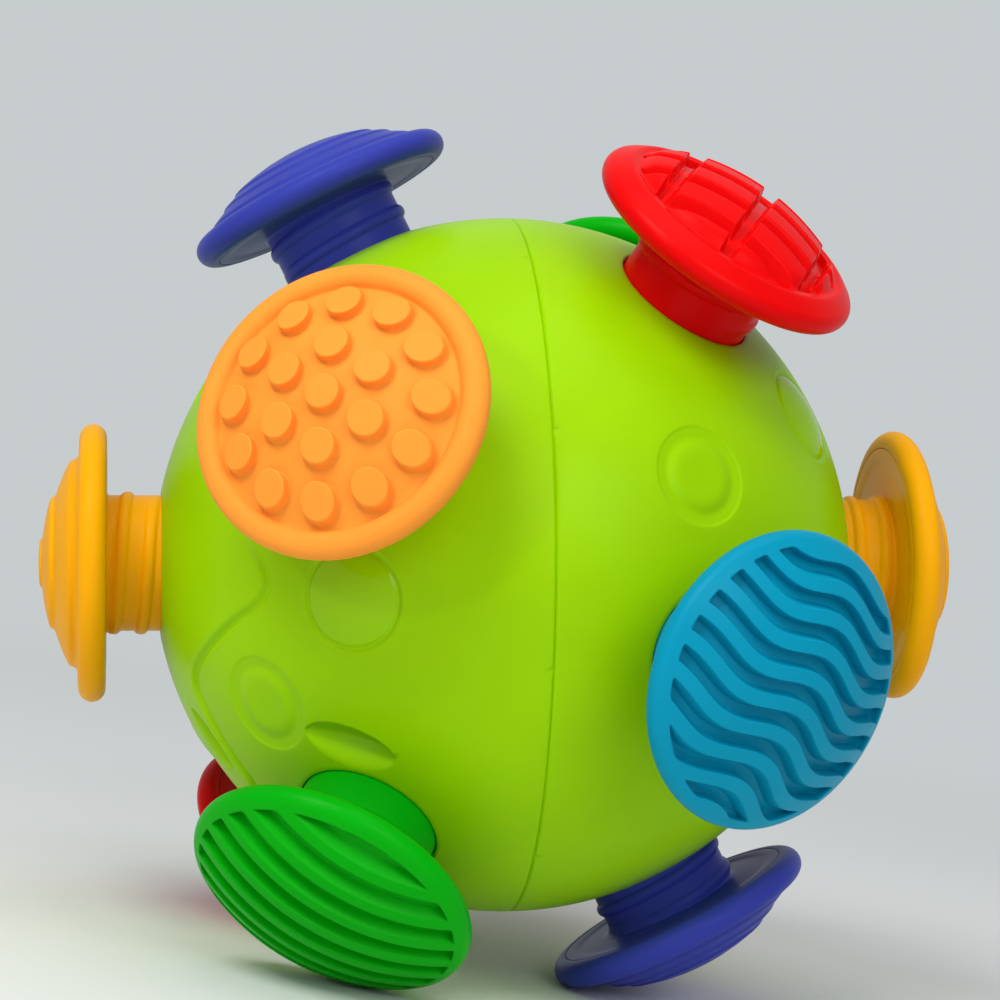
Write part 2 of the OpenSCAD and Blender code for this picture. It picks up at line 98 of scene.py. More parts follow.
def size_of(label, value, unit="millimetres"):
    """A size of the object, with its label and unit."""
    return FloatProperty(name=label, description=f"{label}, in {unit}", default=value)


class BallSizes(bpy.types.PropertyGroup):
    """Sizes of the ball, in millimetres"""

    ball_d: size_of("Diameter of the ball", 125)
    wall: size_of("Wall of the half shells", 2.6)
    bore_r: size_of("Radius of the hole round a stem", 12.9)
    bore_edge: size_of("Rounding of a socket's edge", 0.2)
    collar: size_of("Depth of the threaded collar in a socket", 3)
    socket_depth: size_of("Length of a socket", 10.5)
    socket_wall: size_of("Wall round a socket", 2.2)
    seam_w: size_of("Half width of the seam groove", 0.35)
    seam_depth: size_of("Depth of the seam groove", 0.4)
    star_height: size_of("Height of the star panel", 0.5)
    star_ledge: size_of("Width of the star's sloping edge", 0.8)
    ring_r: size_of("Outer circle of a ring mark", 8.7)
    button_r: size_of("Inner circle of a ring mark", 5.8)
    ring_depth: size_of("Depth of a ring mark's channel", 0.6)
    bubble_r: size_of("Radius of a bubble at its foot", 8.1)
    bubble_height: size_of("Height of a bubble", 1.1)
    leaf_len: size_of("Length of a leaf-shaped scoop", 16.5)
    leaf_w: size_of("Half width of a scoop", 4.1)
    leaf_depth: size_of("Depth of a scoop", 5.0)
    columns: IntProperty(name="Columns", description="Columns round each socket, a multiple of ten", default=100)
    rows: IntProperty(name="Rows", description="Rows from a socket to its border", default=10)
    finest: size_of("Finest edge of the mesh", 0.33)
    coarser: size_of("Growth of an edge in each millimetre off the relief", 0.75)


class KnobSizes(bpy.types.PropertyGroup):
    """Sizes of the knobs, in millimetres"""

    face_d: size_of("Diameter of a face", 49.4)
    rim_t: size_of("Thickness of the rounded rim", 4.8)
    dome_h: size_of("Height of the dome over the rim's middle", 9.5)
    border_w: size_of("Border outside the grooves", 1.9)
    groove_low: size_of("Height of the ends of the grooves", 0.85)
    plate_d: size_of("Diameter of the back plate", 43)
    plate_t: size_of("Thickness of the back plate", 2)
    stem_d: size_of("Diameter of the stem without its thread", 24.2)
    stem_wall: size_of("Wall of the hollow stem", 2.2)
    stem_end: size_of("Height of the stem's inner end", -30.165)
    neck_top: size_of("Upper side of the snap ring's neck", -26.17)
    neck_back: size_of("Lower side of the snap ring's neck", -28.77)
    neck_depth: size_of("Depth of the snap ring's neck", 1)
    thread_h: size_of("Height of the thread", 0.65)
    thread_w: size_of("Width of the thread", 2.3)
    thread_pitch: size_of("Climb of the thread in one turn", 4.8)
    thread_start: size_of("Height where the thread fades in", -11)
    thread_gap: size_of("Gap between the thread and the collar", 0.15)
    peg_face_h: size_of("Height of the face between the pegs", 6.6)
    peg_foot_h: size_of("Height of the peg face at its rim", 0.9)
    peg_border_w: size_of("Border round the pegs", 3.9)
    peg_d: size_of("Diameter of a peg at its top", 5.8)
    peg_h: size_of("Height of a peg", 1.9)
    peg_edge: size_of("Rounding of a peg's edge and foot", 0.35)
    wave_pitch: size_of("From one wavy groove to the next", 5.05)
    wave_groove: size_of("Width of a wavy groove", 2.2)
    wave_depth: size_of("Depth of a wavy groove", 2.6)
    wave_len: size_of("Length of one wave", 22.6)
    wave_swing: size_of("Height of a wave to each side", 1.35)
    stripe_pitch: size_of("From one straight groove to the next", 5.2)
    stripe_groove: size_of("Width of a straight groove", 2.9)
    stripe_depth: size_of("Depth of a straight groove", 2.4)
    groove_soft: size_of("Width of a groove's sloping wall", 0.65)
    block_pitch: size_of("Between the grooves along the blocks", 14)
    block_step: size_of("Between the grooves across the blocks", 7.4)
    block_shift: size_of("Grooves along the blocks off the middle", 1.7)
    block_floor: size_of("Width of a block groove at its floor", 1.5)
    block_top: size_of("Width of a block groove at its top", 3.3)
    block_depth: size_of("Depth of a block groove", 2.8)
    block_border_w: size_of("Border round the blocks", 5)
    step_h: size_of("Scale of the terraces' heights", 1, "times")
    ring_step_h: size_of("Height of a fine ring", 0.4)


def colour_property(label, value):
    """A colour of the object as a linear red, green and blue."""
    return FloatVectorProperty(name=label, description=f"Colour of the {label.lower()} plastic", subtype="COLOR",
                               size=3, min=0, max=1, default=value)


class Finishes(bpy.types.PropertyGroup):
    """Colours of the plastics"""

    lime: colour_property("Lime", (0.325, 0.640, 0.0008))
    orange: colour_property("Orange", (1.0, 0.330, 0.040))
    blue: colour_property("Blue", (0.0015, 0.290, 0.460))
    green: colour_property("Green", (0.001, 0.400, 0.004))
    red: colour_property("Red", (0.800, 0.0010, 0.0015))
    yellow: colour_property("Yellow", (0.950, 0.410, 0.002))
    purple: colour_property("Purple", (0.036, 0.050, 0.370))


class StageSizes(bpy.types.PropertyGroup):
    """Camera and light"""

    lens: size_of("Focal length of the camera", 97.73)
    distance: size_of("Distance from the camera to the ball's middle", 493.6)
    camera_x: size_of("Camera to the side", -2.2)
    camera_up: size_of("Camera over the ball's middle", 11.4)
    roll: size_of("Roll of the camera", 8.79, "degrees")


# ---------------- frames


def unit(v):
    """A vector divided by its length."""
    v = np.asarray(v, float)
    return v / np.linalg.norm(v)


def turn_matrix(axis, degrees):
    """The rotation matrix of a turn round X, Y or Z."""
    return np.array(Matrix.Rotation(math.radians(degrees), 3, axis))


def middle_of_ball():
    """The point nearest to all knob axes, by least squares, in millimetres."""
    a, b = np.zeros((3, 3)), np.zeros(3)
    for j in HINGES.values():
        n = unit(j["axis"])
        off = np.eye(3) - np.outer(n, n)
        a += off
        b += off @ (np.array(j["pos_m"]) / MM)
    return np.linalg.solve(a, b)


def ball_axes():
    """Columns: the ball's X, Y and Z in the model's frame, from the left pole and the front orange knob."""
    z = unit(HINGES["steps_left"]["axis"])
    x = np.array(HINGES["pegs_front"]["axis"])
    x = unit(x - z * (x @ z))
    return np.column_stack([x, np.cross(z, x), z])


CENTRE = middle_of_ball()
BALL = ball_axes()


def knob_frame(name):
    """Rotation and origin of a knob's own frame: its axis outwards on +Z, its rim plane at z = 0."""
    _, polar, around, turn, _ = KNOBS[name]
    axes = BALL @ turn_matrix("Z", around) @ turn_matrix("Y", polar) @ turn_matrix("Z", turn)
    return axes, np.array(HINGES[name]["pos_m"]) / MM


def direction(polar, around):
    """A unit vector from its angle to the left pole and its angle round the poles."""
    a, b = np.radians(polar), np.radians(around)
    return np.stack([np.sin(a) * np.cos(b), np.sin(a) * np.sin(b), np.cos(a) + 0 * b], -1)


# ---------------- meshes


def smooth(t):
    """The curve 3t^2 - 2t^3 between 0 and 1."""
    t = np.clip(t, 0, 1)
    return t * t * (3 - 2 * t)


def grid_quads(rows, cols, start=0, closed=True):
    """Quads between the points of a grid stored row by row, whose columns may close on themselves."""
    i = np.arange(rows - 1)[:, None]
    j = np.arange(cols if closed else cols - 1)[None, :]
    k = (j + 1) % cols
    quad = np.stack([i * cols + j, i * cols + k, (i + 1) * cols + k, (i + 1) * cols + j], -1)
    return quad.reshape(-1, 4) + start


def fan(centre, ring):
    """Triangles from one point to a closed ring of points."""
    ring = np.asarray(ring)
    return np.stack([np.full(len(ring), centre), ring, np.roll(ring, -1)], -1)


def make_mesh(name, points, faces):
    """A smooth mesh from millimetre points in the model's frame and a list of arrays of triangles or quads."""
    mesh = bpy.data.meshes.new(name)
    loops = np.concatenate([f.ravel() for f in faces]).astype(np.int32)
    counts = np.concatenate([np.full(len(f), f.shape[1]) for f in faces]).astype(np.int32)
    mesh.vertices.add(len(points))
    mesh.vertices.foreach_set("co", (np.asarray(points) * MM).astype(np.float32).ravel())
    mesh.loops.add(len(loops))
    mesh.loops.foreach_set("vertex_index", loops)
    mesh.polygons.add(len(counts))
    mesh.polygons.foreach_set("loop_start", np.concatenate([[0], np.cumsum(counts)[:-1]]).astype(np.int32))
    mesh.polygons.foreach_set("use_smooth", np.ones(len(counts), bool))
    mesh.update(calc_edges=True)
    mesh.validate()
    return mesh


def add_piece(name, mesh, material, body, slot, *nodes):
    """Links a finished mesh as a piece that rides on a body and stands for CAD nodes."""
    piece = bpy.data.objects.new(name, mesh)
    bpy.context.scene.collection.objects.link(piece)
    mesh.materials.append(material)
    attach(piece, body)
    if nodes:
        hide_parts(*nodes)


def weld(points, faces):
    """Points that coincide to a ten-thousandth of a millimetre made one, and the quads cut into triangles."""
    _, first, back = np.unique(np.round(points * 1e4).astype(np.int64), axis=0, return_index=True,
                               return_inverse=True)
    quads = back.ravel()[np.concatenate(faces)]
    tris = np.concatenate([quads[:, [0, 1, 2]], quads[:, [0, 2, 3]]])
    whole = (tris[:, 0] != tris[:, 1]) & (tris[:, 1] != tris[:, 2]) & (tris[:, 2] != tris[:, 0])
    return first, tris[whole]


def outwards(mesh):
    """Turns all faces of a closed mesh outwards without merging anything."""
    work = bmesh.new()
    work.from_mesh(mesh)
    bmesh.ops.recalc_face_normals(work, faces=work.faces)
    work.to_mesh(mesh)
    work.free()
    return mesh


def knob_mesh(name, title, points, faces):
    """A closed mesh from points in a knob's own frame."""
    axes, origin = knob_frame(name)
    return outwards(make_mesh(title, points @ axes.T + origin, faces))


def round_corners(points, radii, steps=5):
    """A line through the points with each corner replaced by a curve that starts a radius before it and ends a
    radius after it: the quadratic curve from a over b to c."""
    points = [np.asarray(p, float) for p in points]
    out = [points[0]]
    for a, b, c, r in zip(points, points[1:], points[2:], radii):
        if r <= 0:
            out.append(b)
            continue
        u, v = a - b, c - b
        lu, lv = np.linalg.norm(u), np.linalg.norm(v)
        p, q = b + u / lu * min(r, lu * 0.49), b + v / lv * min(r, lv * 0.49)
        t = np.linspace(0, 1, steps)[:, None]
        out.extend((1 - t) ** 2 * p + 2 * t * (1 - t) * b + t ** 2 * q)
    out.append(points[-1])
    return np.array(out)


def fill_in(line, spacing):
    """The line with points added so that no stretch is longer than the spacing."""
    out = [line[0]]
    for a, b in zip(line, line[1:]):
        n = max(1, math.ceil(np.linalg.norm(b - a) / spacing))
        out.extend(a + (b - a) * k / n for k in range(1, n + 1))
    return np.array(out)


def revolve(profile, cols):
    """A profile of radius and height turned round Z: x = r cos a, y = r sin a. An end on the axis is one point."""
    profile = np.asarray(profile, float)
    first, last = profile[0, 0] < 1e-9, profile[-1, 0] < 1e-9
    body = profile[(1 if first else 0):(len(profile) - 1 if last else len(profile))]
    a = np.arange(cols) * 2 * np.pi / cols
    pts = np.stack([body[:, 0, None] * np.cos(a), body[:, 0, None] * np.sin(a),
                    np.repeat(body[:, 1, None], cols, 1)], -1).reshape(-1, 3)
    faces = [grid_quads(len(body), cols)]
    if first:
        faces.append(fan(len(pts), np.arange(cols)[::-1]))
        pts = np.vstack([pts, [0, 0, profile[0, 1]]])
    if last:
        faces.append(fan(len(pts), (len(body) - 1) * cols + np.arange(cols)))
        pts = np.vstack([pts, [0, 0, profile[-1, 1]]])
    return pts, faces


# ---------------- shader expressions


class Val:
    """A socket in a material, on which Python's operators build Math nodes."""

    def __init__(self, net, socket):
        self.net, self.socket = net, socket

    def _math(self, operation, *values):
        return self.net.node("Math", {"operation": operation}, dict(enumerate(values)))

    def __add__(self, other):
        return self._math("ADD", self, other)

    def __mul__(self, other):
        return self._math("MULTIPLY", self, other)

    def __rsub__(self, other):
        return self._math("SUBTRACT", other, self)

    def ramp(self, low, high):
        """A smooth step from 0 at low to 1 at high."""
        return self.net.node("MapRange", {"interpolation_type": "SMOOTHSTEP"}, {0: self, 1: low, 2: high})


class Net:
    """Builds the nodes of one material or world."""

    def __init__(self, tree):
        self.tree = tree
        tree.nodes.clear()

    def node(self, kind, settings=None, inputs=None, output=0):
        """One node of a kind, with its settings set first, then the values or links of its sockets."""
        made = self.tree.nodes.new("ShaderNode" + kind)
        for key, value in (settings or {}).items():
            setattr(made, key, value)
        for key, value in (inputs or {}).items():
            socket = made.inputs[key]
            if isinstance(value, Val):
                self.tree.links.new(value.socket, socket)
            else:
                socket.default_value = value
        return Val(self, made.outputs[output]) if len(made.outputs) else made

    def mix(self, share, a, b):
        """Two colours mixed by a share."""
        return self.node("Mix", {"data_type": "RGBA"}, {"Factor": share, 6: a, 7: b}, 2)

    def noise(self, where, scale, detail=2.0, roughness=0.5):
        """Noise with a given number of cells per metre."""
        return self.node("TexNoise", {}, {"Vector": where, "Scale": scale, "Detail": detail,
                                                    "Roughness": roughness})


def rgba(colour, share=1.0):
    """A colour times a share, with full alpha."""
    return (*[min(1.0, c * share) for c in colour], 1.0)


def plastic(name, colour, roughness, peel, glow=0.0, dust=0.2, polished=0.0):
    """Moulded plastic: a colour that drifts a little, fine orange peel, faint scuffs and a few specks of dust.
    Where the mesh's attribute polish is 1, the roughness falls by the share polished."""
    material = bpy.data.materials.new(name)
    material.use_nodes = True
    net = Net(material.node_tree)
    where = net.node("TexCoord", output=3)
    cloud = net.noise(where, 38.0, 3.0)
    scuff = net.noise(where, 260.0, 5.0, 0.6).ramp(0.60, 0.78)
    peel_wave = net.noise(where, 900.0, 2.0)
    grain = net.noise(where, 3800.0, 2.0)
    specks = net.node("TexVoronoi", {}, {"Vector": where, "Scale": 150.0}).ramp(0.030, 0.012)
    chosen = net.noise(where, 55.0, 0.0).ramp(0.60, 0.64)
    speck = specks * chosen * dust
    base = net.mix(cloud.ramp(0.3, 0.7), rgba(colour, 0.96), rgba(colour, 1.03))
    base = net.mix(scuff * 0.05, base, rgba([c * 0.85 + 0.03 for c in colour]))
    base = net.mix(speck, base, rgba([c * 0.5 + 0.20 for c in colour]))
    rough = scuff * 0.08 + cloud * 0.05 + (roughness - 0.025)
    coat = 0.0
    if polished:
        polish = net.node("Attribute", {"attribute_name": "polish"}, {}, 2)
        coat = polish * 0.16
        rough = rough * (1 - polish * polished)
        peel_wave = peel_wave * (1 - polish)
    height = peel_wave * peel + grain * (peel * 0.12)
    bump = net.node("Bump", {}, {"Strength": 0.35, "Distance": 0.0001, "Height": height})
    shader = net.node("BsdfPrincipled", {}, {
        "Base Color": base, "Roughness": rough, "Normal": bump, "IOR": 1.46, "Specular IOR Level": 0.07,
        "Coat Weight": coat, "Coat Roughness": 0.05,
        "Subsurface Weight": glow, "Subsurface Radius": (0.9, 0.6, 0.4), "Subsurface Scale": 0.0016})
    net.node("OutputMaterial", {}, {"Surface": shader})
    return material


# ---------------- the ball's relief


def ball_r():
    """Radius of the ball."""
    return bpy.context.scene.ball_sizes.ball_d / 2


def around_mark(p, mark, turn):
    """Millimetres along the growing polar angle and the growing turn, from a mark to each direction."""
    axis, ex = direction(mark[0], mark[1] + turn), direction(mark[0] + 90, mark[1] + turn)
    reach = np.arccos(np.clip(p @ axis, -1, 1))
    scale = reach / np.maximum(np.sin(reach), 1e-9) * ball_r()
    return (p @ ex) * scale, (p @ np.cross(axis, ex)) * scale


def bump_at(distance, width):
    """The bell curve exp(-(d / w)^2)."""
    return np.exp(-(distance / width) ** 2)


def ring_mark(x, y, share, s):
    """A low step inside the circle, a soft channel round the button and a shallow dimple in it: its height and
    the distance to its edges."""
    d = np.hypot(x, y)
    rise = -0.3 * smooth((s.ring_r - d) / 0.6) - 0.5 * bump_at(d - s.button_r - 0.8, 1.2)
    edges = np.minimum(np.abs(d - s.ring_r + 0.3) - 0.4, np.abs(d - s.button_r - 0.6) - 0.9)
    return s.ring_depth * (rise - 0.4 * smooth((s.button_r - 1.2 - d) / 2.6)), edges


def bubble(x, y, share, s):
    """A dome over its foot circle with a fine groove and a low lip round it."""
    d = np.hypot(x, y)
    dome = s.bubble_height * np.clip(1 - (d / s.bubble_r) ** 2, 0, 1)
    return dome - 0.32 * bump_at(d - s.bubble_r - 0.1, 0.4) + 0.13 * bump_at(d - s.bubble_r - 0.95, 0.45), \
        np.abs(d - s.bubble_r - 0.3) - 0.7


def leaf(x, y, share, s):
    """A leaf-shaped scoop. With u = 2x / L its half width is w = W (1 - u^2)^(0.54 - 0.06 u). Its depth grows
    steeply under its upper edge, y = w, and evenly from its lower edge, y = -w."""
    u = np.clip(x / (s.leaf_len * share / 2), -1, 1)
    half = s.leaf_w * share * (1 - u * u) ** (0.54 - 0.06 * u)
    v = np.clip(y / np.maximum(half, 1e-6), -1, 1)
    steep = np.sin(np.clip((1 - v) / 0.75, 0, 1) * np.pi / 2)
    deep = s.leaf_depth * share * np.sqrt(1 - u * u) * (1 + 0.12 * u)
    drop = deep * np.minimum(steep, smooth((1 + v) / 1.8)) * smooth((half - np.abs(y)) / 0.4)
    outside = np.hypot(np.maximum(np.abs(x) - s.leaf_len * share / 2, 0), np.maximum(np.abs(y) - half, 0))
    return -drop, np.maximum(outside, 0.35 * np.maximum(half - np.abs(y) - 0.6, 0))


# Relief of each half: kind, angle from the left pole and angle round the poles, share of its full size
MARKS = {"left": ((ring_mark, (44, 307), 1), (bubble, (59.2, 333.6), 1), (leaf, (59.5, 305.7), 1),
                  (leaf, (32.5, 275), 0.8)),
         "right": ((ring_mark, (113.7, 354.4), 1), (bubble, (141, 21), 1))}
MARK_TURNS = (0, 2 * FIFTH, 3 * FIFTH)


def marks_of(p, side, wanted):
    """The marks of the wanted kinds on a half: kind, share of its full size, places of the points round it."""
    for kind, mark, share in MARKS[side]:
        if kind in wanted:
            for turn in MARK_TURNS:
                yield kind, share, *around_mark(p, mark, turn)


def star_line(s):
    """The star panel's outline seen along the poles: ten corners, each rounded by a quadratic curve."""
    polar, around = np.radians(np.array(STAR_CORNERS)).T
    corner = s.ball_d / 2 * np.sin(polar)[:, None] * np.stack([np.cos(around), np.sin(around)], -1)
    line = []
    for i in range(10):
        a, b, c = corner[i], corner[(i + 1) % 10], corner[(i + 2) % 10]
        t = np.linspace(0, 1, 7)[:, None]
        a, c = b + (a - b) * STAR_SOFT, b + (c - b) * STAR_SOFT
        line.append(a * (1 - t) ** 2 + b * 2 * t * (1 - t) + c * t ** 2)
    return np.vstack(line)


def inside_line(xy, line):
    """Distance to a closed line, positive inside it: the least distance to its stretches, with the sign from
    the number of stretches crossed on the way out."""
    best = np.full(len(xy), 1e9)
    crossed = np.zeros(len(xy), bool)
    for p, q in zip(line, np.roll(line, -1, 0)):
        d = q - p
        t = np.clip(((xy - p) @ d) / (d @ d), 0, 1)
        best = np.minimum(best, np.hypot(*(xy - p - t[:, None] * d).T))
        over = (p[1] > xy[:, 1]) != (q[1] > xy[:, 1])
        with np.errstate(divide="ignore", invalid="ignore"):
            at = p[0] + (xy[:, 1] - p[1]) * d[0] / d[1]
        crossed ^= over & (xy[:, 0] < at)
    return np.where(crossed, best, -best)


def relief(p, side, s):
    """Height of the skin over the sphere in each direction, and the distance to the nearest edge of the relief.
    The star panel rises over its ledge, with a soft groove at its foot and a low lip inside."""
    height, near = np.zeros(len(p)), np.full(len(p), 9.0)
    for kind, share, x, y in marks_of(p, side, (ring_mark, bubble, leaf)):
        h, d = kind(x, y, share, s)
        height, near = height + h, np.minimum(near, d)
    if side == "left":
        top = p[:, 2] > 0.55
        inside = inside_line(p[top, :2] * s.ball_d / 2, star_line(s))
        height[top] += s.star_height * smooth((inside + 0.1) / s.star_ledge)
        height[top] += 0.06 * bump_at(inside - 1.2, 0.4) - 0.32 * bump_at(inside + 0.3, 0.38)
        near[top] = np.minimum(near[top], np.abs(inside - 0.2) - 0.8)
    return height, np.maximum(near, 0)


def polish_of(p, side, s):
    """1 on the bubbles and 0 elsewhere."""
    share = np.zeros(len(p))
    for _, _, x, y in marks_of(p, side, (bubble,)):
        share = np.maximum(share, smooth((s.bubble_r + 0.1 - np.hypot(x, y)) / 0.3))
    return share


def under_leaves(p, side, s):
    """How far the inner surface gives way to the scoops: all their depth under a leaf, next to none 3 mm off."""
    deep = np.zeros(len(p))
    for _, share, x, y in marks_of(p, side, (leaf,)):
        e = np.hypot(x / (s.leaf_len * share / 2 + 3), y / (s.leaf_w * share + 3))
        deep = np.maximum(deep, s.leaf_depth * share * smooth((1.15 - e) / 0.6))
    return deep


def unit_rows(p):
    """Each row divided by its length."""
    return p / np.linalg.norm(p, axis=1)[:, None]


def refine(points, tris, skin, size, r, rounds=7):
    """Cuts every edge of the skin that is longer than the size wanted at its middle. The new point lies on the
    sphere, and a triangle becomes two, three or four by the number of its edges that are cut."""
    for _ in range(rounds):
        pairs = np.sort(tris[:, [[0, 1], [1, 2], [2, 0]]].reshape(-1, 2), 1)
        edges, back = np.unique(pairs[:, 0] * len(points) + pairs[:, 1], return_inverse=True)
        a, b = edges // len(points), edges % len(points)
        middle = unit_rows(points[a] + points[b]) * r
        length = np.linalg.norm(points[a] - points[b], axis=1)
        long = skin[a] & skin[b] & (length > 2 * size(None))
        long[long] = length[long] > size(middle[long] / r)
        if not long.any():
            break
        new = np.full(len(edges), -1)
        new[long] = len(points) + np.arange(long.sum())
        points = np.vstack([points, middle[long]])
        skin = np.concatenate([skin, np.ones(long.sum(), bool)])
        cut = new[back].reshape(-1, 3)
        count = (cut >= 0).sum(1)
        out = [tris[count == 0]]
        for n in (1, 2, 3):
            t, m = tris[count == n], cut[count == n]
            shift = (m >= 0).argmax(1) if n == 1 else ((m < 0).argmax(1) + 1) % 3 if n == 2 else 0 * m[:, 0]
            order = (np.arange(3) + shift[:, None]) % 3
            (a, b, c), (x, y, z) = np.take_along_axis(t, order, 1).T, np.take_along_axis(m, order, 1).T
            parts = {1: [(a, x, c), (x, b, c)], 2: [(x, b, y), (a, x, y), (a, y, c)],
                     3: [(a, x, z), (x, b, y), (z, y, c), (x, y, z)]}[n]
            out += [np.stack(p, -1) for p in parts]
        tris = np.concatenate(out)
    return points, tris, skin


def corner_columns(b, k, normals):
    """Turns the column nearest to each corner of the border onto that corner, so that neighbours share it."""
    x, y, z = k
    for i in range(len(normals)):
        for j in range(i + 1, len(normals)):
            corner = np.cross(normals[i], normals[j])
            if np.linalg.norm(corner) < 1e-9:
                continue
            corner = unit(corner) * (1 if np.dot(corner, z) > 0 else -1)
            if (normals @ corner > -1e-9).all() and corner @ z > 0.5:
                at = math.atan2(corner @ y, corner @ x) % (2 * math.pi)
                b[int(round(at * len(b) / (2 * math.pi))) % len(b)] = at
    return b


def socket_rows(name, level, columns, s, k):
    """Rows of points down a socket from the skin's height at its edge: the rounded edge, the threaded collar, the
    plain bore, and the foot of the socket's wall. The columns are their angles and directions, and the axis."""
    b, e, z = columns
    texture, _, _, turn, phase = KNOBS[name]
    origin = np.linalg.norm(np.array(HINGES[name]["pos_m"]) / MM - CENTRE)
    top = np.sqrt(level ** 2 - (s.bore_r + 0.05) ** 2)
    floor = s.ball_d / 2 - s.socket_depth
    rows = []
    for ledge, down in ((0.22, 0), (0.05, 0.04), (0, 0.2), *((0, v) for v in np.linspace(0.6, s.collar, 6))):
        ridge, _ = thread_ridge(top - down - origin, b - math.radians(turn), texture, phase, 0.2, k)
        rows.append((k.stem_d / 2 + k.thread_gap + k.thread_h * ridge + ledge, top - down))
    rows += [(s.bore_r, top - (s.collar + 0.4)), (s.bore_r, floor), (s.bore_r + s.socket_wall, floor)]
    return [np.reshape(radius, (-1, 1)) * e + np.reshape(height, (-1, 1)) * z for radius, height in rows]


def half_skin(side, s, k):
    """One half of the ball as a closed skin. Round each knob axis lies a polar grid that reaches from the edge of
    its socket to the middle of the way to the next knob, or to the seam. The way out along a column at angle b is
    tan a = -(n . k) / (n . e), where n is the border's normal, k the knob's axis and e the column's direction.
    The grid is refined at the relief, and then each point of the skin is moved out by the relief's height."""
    r, cols = s.ball_d / 2, s.columns
    sign = 1 if side == "left" else -1
    inner_r = r - s.wall
    edge_a, outside = math.asin((s.bore_r + s.bore_edge) / r), s.bore_r + s.socket_wall
    knobs = knob_axes(side)
    sheets, skins, faces, start = [], [], [], 0
    for name, (x, y, z) in knobs.items():
        normals = np.array([z - o[2] for n, o in knobs.items() if n != name] + [np.array([0, 0, sign])])
        b = corner_columns(np.arange(cols) * 2 * np.pi / cols, (x, y, z), normals)
        e = np.cos(b)[:, None] * x + np.sin(b)[:, None] * y
        slope = e @ normals.T
        with np.errstate(divide="ignore"):
            a = np.where(slope < -1e-9, np.arctan(-(normals @ z) / slope), np.pi)
        last = a.min(1)
        on_seam = a[:, -1] - last < 1e-7
        first = edge_a + np.array([0, 0.1, 0.3, 0.7]) / r
        fine = np.array([1.1, 0.7, 0.38, 0.2, 0.08, 0]) / r
        t = np.linspace(0, 1, s.rows)[1:-1]
        middle = first[-1] + (last[:, None] - fine[0] - first[-1]) * t
        reach = np.hstack([np.tile(first, (cols, 1)), middle, last[:, None] - fine])[:, ::-1, None]
        outer = r * (np.cos(reach) * z + np.sin(reach) * e[:, None])
        level = r + relief(unit_rows(outer[:, -1]), side, s)[0]
        rows = socket_rows(name, level, (b, e, z), s, k)
        start_a = math.asin(outside / inner_r)
        a_in = (start_a + (last[:, None] - start_a) * np.linspace(0, 1, INNER_ROWS))[..., None]
        inner = np.cos(a_in) * z + np.sin(a_in) * e[:, None]
        depth = inner_r - under_leaves(inner.reshape(-1, 3), side, s).reshape(cols, -1, 1)
        sheet = np.concatenate([outer, np.stack(rows, 1), inner * depth], 1)
        n = sheet.shape[1]
        j = np.arange(cols)
        nxt = (j + 1) % cols
        here, there = j[:, None] * n + np.arange(n - 1), nxt[:, None] * n + np.arange(n - 1)
        quads = np.stack([here, there, there + 1, here + 1], -1)
        both = on_seam & on_seam[nxt]
        seam = np.stack([j * n, j * n + n - 1, nxt * n + n - 1, nxt * n], -1)[both]
        faces += [quads.reshape(-1, 4) + start, seam + start]
        sheets.append(sheet.reshape(-1, 3))
        skins.append(np.tile(np.arange(n) < outer.shape[1], cols))
        start += cols * n
    points, skin = np.vstack(sheets), np.concatenate(skins)
    keep, tris = weld(points, faces)
    points, skin = points[keep], skin[keep]

    def size(p):
        return s.finest / 2 if p is None else np.minimum(s.finest + s.coarser * relief(p, side, s)[1], COARSEST)

    points, tris, skin = refine(points, tris, skin, size, r)
    p = unit_rows(points)
    away = np.abs(p[:, 2]) * r
    height = relief(p, side, s)[0] * smooth(away / 1.5) - s.seam_depth * np.clip(1 - away / s.seam_w, 0, 1)
    points = np.where(skin[:, None], p * (r + height)[:, None], points)
    mesh = outwards(make_mesh(f"shell_{side}_skin", points @ BALL.T + CENTRE, [tris]))
    mesh.attributes.new("polish", "FLOAT", "POINT").data.foreach_set("value", polish_of(p, side, s) * skin)
    return mesh


def knob_axes(side):
    """The X, Y and outward axes, in the ball's frame, of the knobs on one half."""
    found = {}
    for name, (_, polar, around, _, _) in KNOBS.items():
        if (polar < 90) == (side == "left"):
            m = turn_matrix("Z", around) @ turn_matrix("Y", polar)
            found[name] = (m[:, 0], m[:, 1], m[:, 2])
    return found


class SENSORYBALL_OT_halves(bpy.types.Operator):
    """Builds the two moulded halves of the ball"""

    bl_idname = "sensoryball.halves"
    bl_label = "Ball halves"

    def execute(self, context):
        scene = context.scene
        lime = plastic("lime_plastic", scene.finishes.lime, 0.34, 0.5, 0.06, polished=0.6)
        for side in ("left", "right"):
            mesh = half_skin(side, scene.ball_sizes, scene.knob_sizes)
            add_piece(f"shell_{side}_skin", mesh, lime, "shell", "shell_lime", f"shell_{side}")
        return {"FINISHED"}


# ---------------- stems


def thread_ridge(z, a, texture, phase, wider, k):
    """Share of the thread's height at a height and an angle: the ridge is rounded across and lies where
    z / pitch -+ a / 2 pi is whole. Also the height of the nearest turn's middle."""
    hand = -1 if texture in LEFT_HANDED else 1
    turns = (z - k.thread_start) / k.thread_pitch - hand * (a + math.radians(phase)) / (2 * np.pi)
    off = (turns - np.round(turns)) * k.thread_pitch
    return np.clip(1 - (np.abs(off) / (k.thread_w / 2 + wider)) ** 2.4, 0, 1) ** 0.8, z - off


